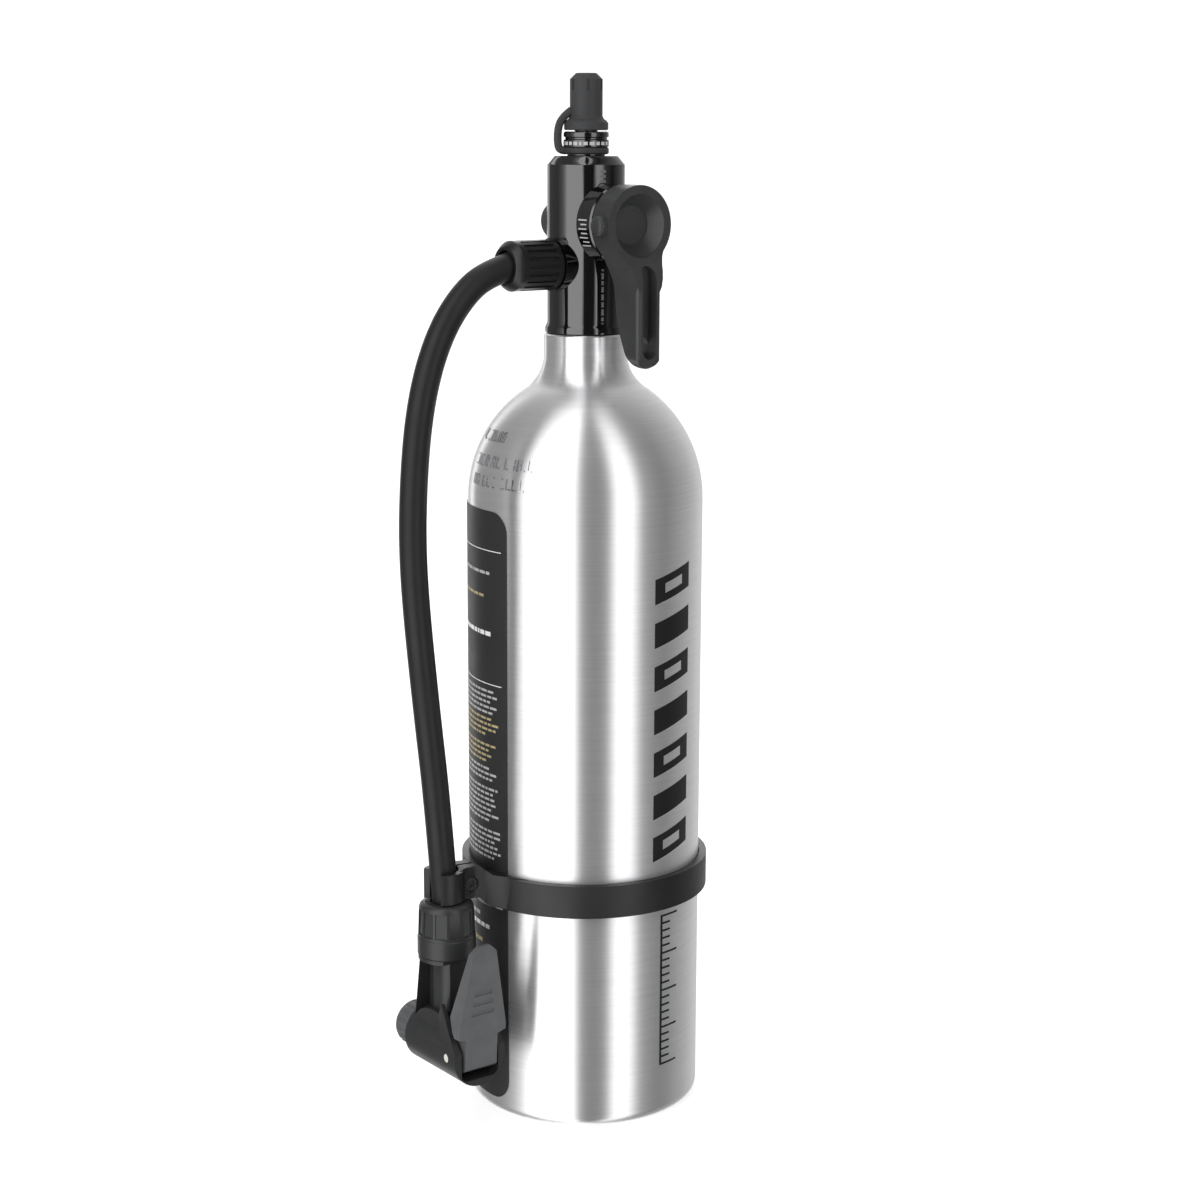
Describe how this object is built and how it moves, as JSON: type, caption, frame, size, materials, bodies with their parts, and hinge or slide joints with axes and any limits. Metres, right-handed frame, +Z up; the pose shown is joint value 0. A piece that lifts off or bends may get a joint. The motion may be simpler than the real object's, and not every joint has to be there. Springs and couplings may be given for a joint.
{
  "type": "air reservoir bottle with pump head",
  "caption": "Aluminium air bottle with a black valve block, turning selector knob, capped inlet, hose, hose strap and a pump head with a thumb lever.",
  "frame": {"origin": "centre of the bottle's flat base", "axes": "+Z up the bottle's axis; the selector knob faces -Y; the hose port, hose and pump head are towards -X"},
  "size_m": [0.117, 0.0856, 0.3527],
  "materials": {
    "brushed_aluminium": "satin brushed",
    "label_black": "satin print",
    "seal_rubber": "matte",
    "gloss_black": "gloss black anodised",
    "brass": "turned",
    "black_nylon": "smooth",
    "grey_plastic": "fine grain",
    "dark_steel": "black oxide",
    "knob_plastic": "fine grain",
    "spring_steel": "bright",
    "grey_rubber": "matte",
    "black_plastic": "satin",
    "hose_rubber": "smooth matte",
    "strap_plastic": "satin",
    "head_plastic": "fine grain",
    "white_plastic": "smooth",
    "gasket_rubber": "matte",
    "lever_plastic": "fine grain",
    "pin_metal": "polished"
  },
  "bodies": {
    "root": {"tank_shell": "brushed_aluminium", "label_panel": "label_black", "neck_o_ring": "seal_rubber", "valve_body": "gloss_black", "spindle_washer": "black_nylon", "inlet_adaptor": "gloss_black", "adaptor_o_ring": "seal_rubber", "inlet_stem": "brass", "core_spring": "spring_steel", "cap_tether": "grey_rubber", "port_nut": "black_plastic", "hose_port_barb": "brass", "port_o_ring": "seal_rubber", "hose": "hose_rubber", "strap_clamp": "strap_plastic", "clamp_screw": "dark_steel", "clamp_nut": "dark_steel", "head_collar_nut": "head_plastic", "head_barb": "brass", "head_body": "head_plastic", "valve_gasket": "gasket_rubber", "lever_pin": "pin_metal"},
    "knob": {"lever_knob": "knob_plastic", "knob_cover": "knob_plastic", "knob_screw": "dark_steel", "valve_spindle": "brass", "spindle_o_rings": "seal_rubber", "spindle_end_cap": "grey_plastic", "end_cap_screw": "dark_steel"},
    "cap": {"inlet_cap": "grey_rubber"},
    "core": {"core_pin": "brass"},
    "lever": {"thumb_lever": "lever_plastic"},
    "plunger": {"head_plunger": "white_plastic", "plunger_o_ring": "seal_rubber"},
    "gasket_cap": {"gasket_cap": "lever_plastic"}
  },
  "joints": [
    {"name": "knob_turn", "type": "hinge", "parent": "root", "child": "knob", "pos_m": [0, -0.0204, 0.3043], "axis": [0, -1, 0], "range_deg": [0, 90]},
    {"name": "inlet_cap_pull", "type": "slide", "parent": "root", "child": "cap", "axis": [0, 0, 1], "range_m": [0, 0.016]},
    {"name": "core_pin_press", "type": "slide", "parent": "root", "child": "core", "axis": [0, 0, -1], "range_m": [0, 0.0015], "stiffness_N_per_m": 300, "deforming": ["core_spring"]},
    {"name": "lever_flip", "type": "hinge", "parent": "root", "child": "lever", "pos_m": [-0.0581, -0.014, 0.0303], "axis": [1, 0, 0], "range_deg": [0, 90]},
    {"name": "plunger_push", "type": "slide", "parent": "root", "child": "plunger", "axis": [0, 1, 0], "range_m": [0, 0.0019]},
    {"name": "gasket_cap_turn", "type": "hinge", "parent": "root", "child": "gasket_cap", "pos_m": [-0.0581, 0.0111, 0.0303], "axis": [0, 1, 0], "continuous": true}
  ],
  "couplings": [
    {"joint": "plunger_push", "follows": "lever_flip", "m_per_rad": 0.0012096}
  ]
}
